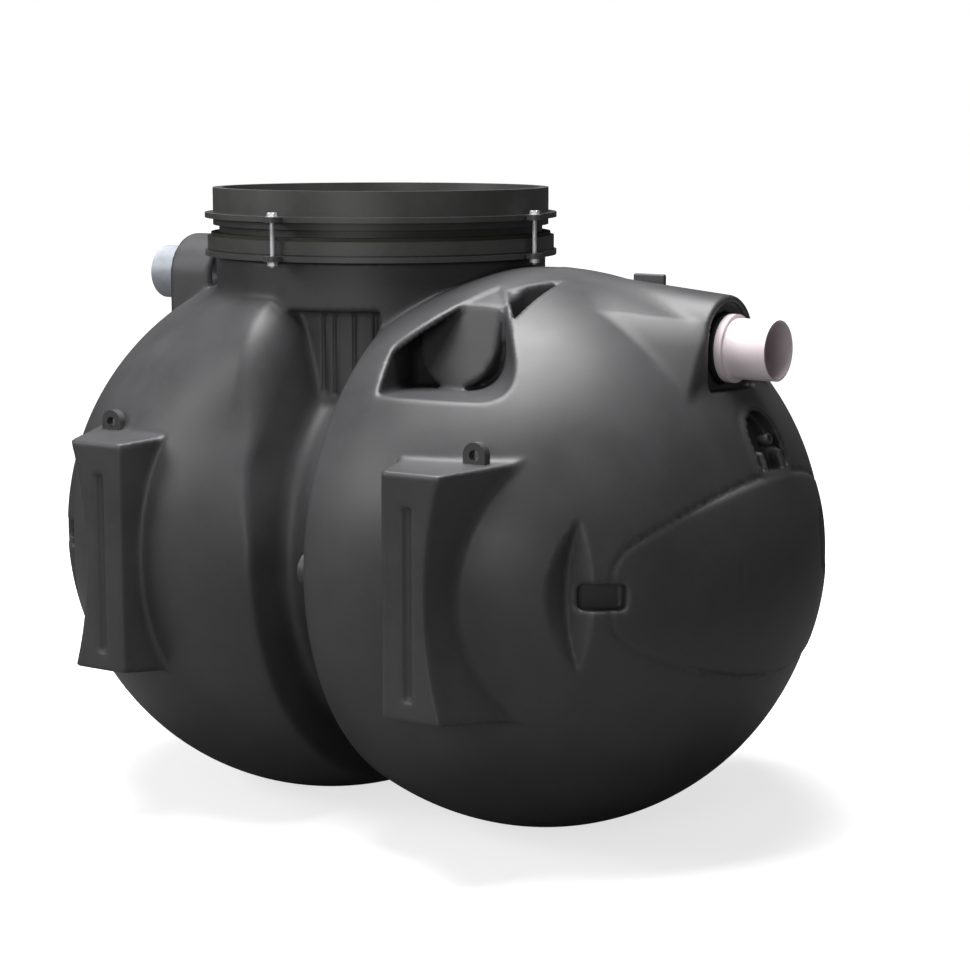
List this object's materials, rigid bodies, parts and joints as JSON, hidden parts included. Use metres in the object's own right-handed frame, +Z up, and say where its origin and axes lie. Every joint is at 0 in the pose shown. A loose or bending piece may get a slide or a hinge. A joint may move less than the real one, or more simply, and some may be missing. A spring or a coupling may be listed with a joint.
{
  "type": "septic tank",
  "caption": "Lobed moulded septic tank shell with a clamped manway collar on a bridging neck, a housing with a stub pipe at each end, side pads, lugs and pockets.",
  "frame": {"origin": "middle of the tank at floor level, under the centre of its outer box", "axes": "+X along the tank from the inlet to the outlet, -Y to the front, +Z up"},
  "size_m": [1.6038, 1.164, 1.205],
  "materials": {
    "body": "matte moulded",
    "collar": "matte moulded",
    "gasket": "matte",
    "zinc": "zinc plated",
    "grey_pipe": "satin",
    "pale_pipe": "satin",
    "rubber": "matte"
  },
  "bodies": {
    "root": {"inlet_chamber_shell": "body", "inlet_end_dome": "body", "outlet_chamber_shell": "body", "outlet_end_dome": "body", "waist_band": "body", "inlet_shoulder": "body", "manway_neck": "body", "lower_flange": "collar", "flange_gasket": "gasket", "manway_collar": "collar", "tie_rod_bolts": "zinc", "tie_rod_nuts": "zinc", "inlet_pipe_housing": "body", "outlet_pipe_housing": "body", "inlet_pipe": "grey_pipe", "outlet_pipe": "pale_pipe", "inlet_pipe_seal": "rubber", "outlet_pipe_seal": "rubber", "inlet_front_pad": "body", "inlet_rear_pad": "body", "outlet_front_pad": "body", "outlet_rear_pad": "body", "inlet_front_lug": "body", "inlet_rear_lug": "body", "outlet_front_lug": "body", "outlet_rear_lug": "body", "inlet_end_bulge": "body", "outlet_end_bulge": "body", "outlet_front_port_pad": "body", "outlet_rear_port_pad": "body", "front_groove_stop": "body", "rear_groove_stop": "body"}
  },
  "joints": []
}
